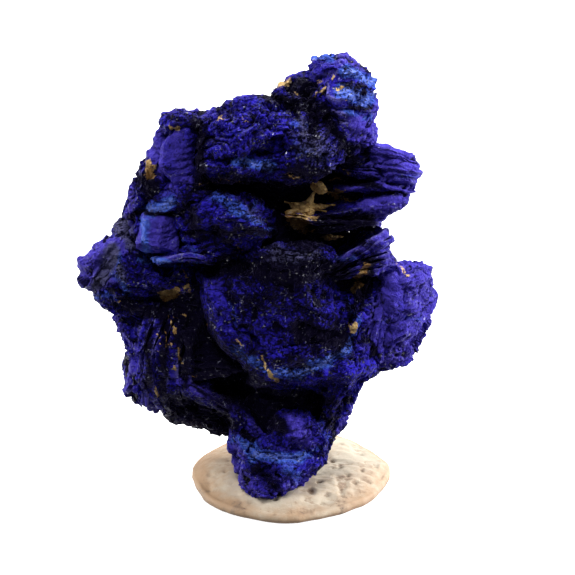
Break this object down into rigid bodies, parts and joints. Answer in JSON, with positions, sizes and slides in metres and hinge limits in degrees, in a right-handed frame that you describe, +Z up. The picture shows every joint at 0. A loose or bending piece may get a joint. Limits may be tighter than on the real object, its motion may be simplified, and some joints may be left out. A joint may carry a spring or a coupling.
{
  "type": "azurite specimen",
  "caption": "Upright cluster of intergrown bladed azurite rosettes, its narrow foot pressed into a round pat of putty.",
  "frame": {"origin": "middle of the putty pat's flat underside", "axes": "+Z up, the way the specimen stands; -Y towards the side it is shown from; +X to that viewer's right"},
  "size_m": [0.0263, 0.0177, 0.0343],
  "materials": {
    "azurite": "natural copper carbonate crystal, dusty, with glints on fresh faces",
    "putty": "pressed mounting putty, off-white, matt"
  },
  "bodies": {
    "root": {"azurite_cluster": "azurite", "putty_pad": "putty"}
  },
  "joints": []
}
